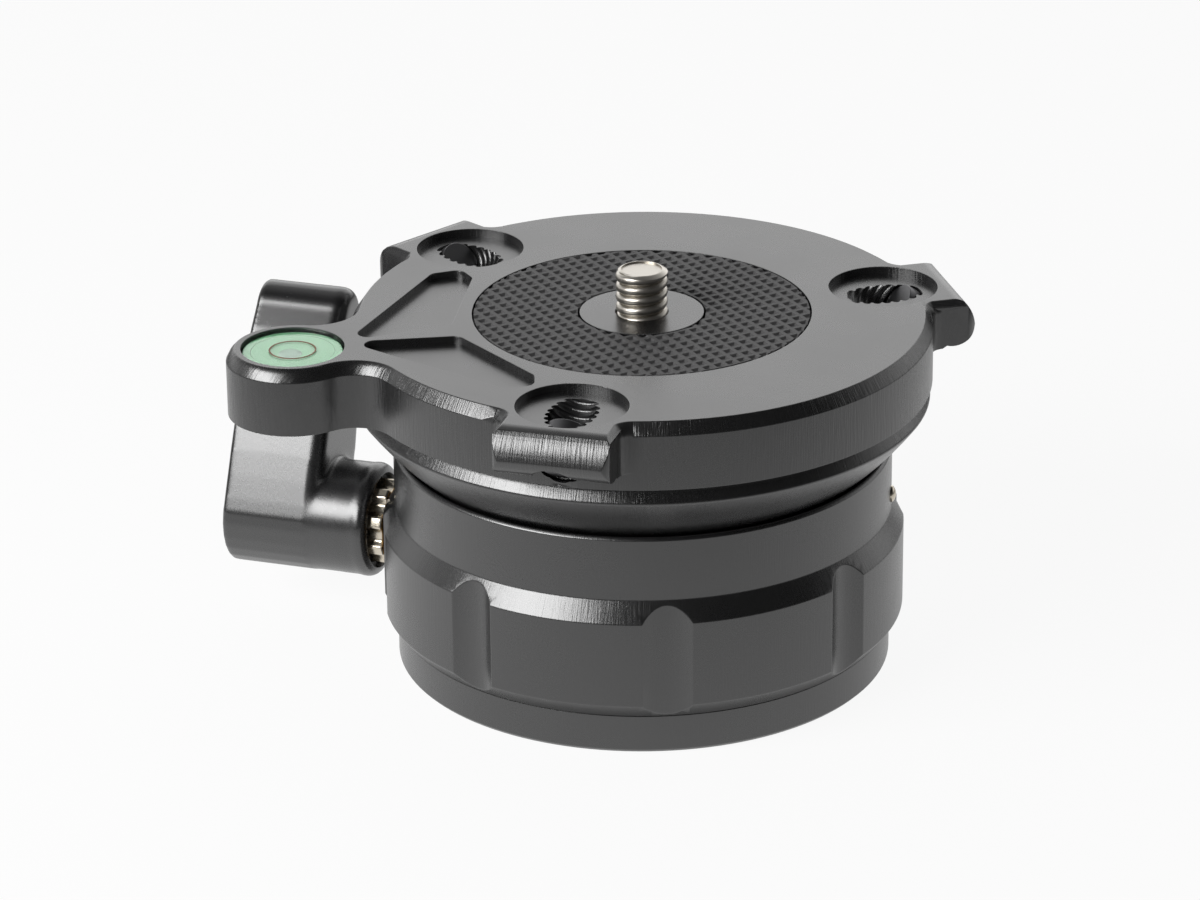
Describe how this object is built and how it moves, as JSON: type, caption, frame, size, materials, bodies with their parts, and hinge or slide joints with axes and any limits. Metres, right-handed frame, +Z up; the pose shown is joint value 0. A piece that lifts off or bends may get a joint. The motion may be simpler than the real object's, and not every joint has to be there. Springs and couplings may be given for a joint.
{
  "type": "leveling head",
  "caption": "Tripod leveling head: round top plate with stud, rubber pad, bubble level and side lugs on a ball dish that tilts in a fluted housing and is locked by a clamping lever.",
  "frame": {"origin": "centre of the bottom face, at the mouth of the tripod thread", "axes": "+Z up along the tripod thread and the stud, -X along the clamping lever's axis, away from the housing"},
  "size_m": [0.0887, 0.0741, 0.0489],
  "materials": {
    "black_anodised": "satin black anodised",
    "lever_black": "glossy black coating",
    "stainless": "turned stainless steel",
    "nickel": "nickel plate",
    "dark_steel": "blackened steel",
    "bronze": "turned bronze",
    "pad_rubber": "matt rubber with diamond pits",
    "vial_plastic": "pale clear plastic",
    "vial_liquid": "green liquid",
    "vial_glass": "clear lens",
    "brake_lining": "brake lining"
  },
  "bodies": {
    "base": {"housing": "black_anodised", "base_plate": "black_anodised", "thread_bush": "stainless", "base_screws": "dark_steel", "wall_pin": "nickel", "lever_bush": "bronze", "tie_bolt": "dark_steel", "spring_washer": "dark_steel"},
    "wedge": {"wedge_plunger": "dark_steel"},
    "lever": {"lever_screw": "nickel", "lever_cap_screw": "dark_steel"},
    "handle": {"lever_arm": "lever_black", "lever_spring": "stainless"},
    "brake": {"brake_pin": "dark_steel", "brake_pad": "brake_lining"},
    "turn_washer": {"clamp_washer": "bronze"},
    "tilt_washer": {"float_washer": "bronze"},
    "top": {"ball_dish": "black_anodised", "top_plate": "black_anodised", "grip_pad": "pad_rubber", "mounting_stud": "stainless", "set_screws": "dark_steel", "vial_cup": "vial_plastic", "vial_fluid": "vial_liquid", "vial_lens": "vial_glass"}
  },
  "joints": [
    {"name": "wedge_push", "type": "slide", "parent": "base", "child": "wedge", "axis": [-1, 0, 0], "range_m": [0, 0.00021]},
    {"name": "lever_turn", "type": "hinge", "parent": "wedge", "child": "lever", "pos_m": [-0.035, 0, 0.0122], "axis": [-1, 0, 0], "range_deg": [0, 75]},
    {"name": "handle_pull", "type": "slide", "parent": "lever", "child": "handle", "axis": [-1, 0, 0], "range_m": [0, 0.004], "stiffness_N_per_m": 500, "springref_m": -0.003, "deforming": ["lever_spring"]},
    {"name": "brake_lift", "type": "slide", "parent": "base", "child": "brake", "axis": [0, 0, -1], "range_m": [0, 0.00021]},
    {"name": "pan", "type": "hinge", "parent": "base", "child": "turn_washer", "pos_m": [0, 0, 0.0585], "axis": [0, 0, 1], "range_deg": [-4, 4]},
    {"name": "tilt_side", "type": "hinge", "parent": "turn_washer", "child": "tilt_washer", "pos_m": [0, 0, 0.0585], "axis": [1, 0, 0], "range_deg": [-8, 8]},
    {"name": "tilt_front", "type": "hinge", "parent": "tilt_washer", "child": "top", "pos_m": [0, 0, 0.0585], "axis": [0, 1, 0], "range_deg": [-8, 8]}
  ],
  "couplings": [
    {"joint": "wedge_push", "follows": "lever_turn", "m_per_rad": 0.00015915},
    {"joint": "brake_lift", "follows": "lever_turn", "m_per_rad": 0.00015915}
  ]
}
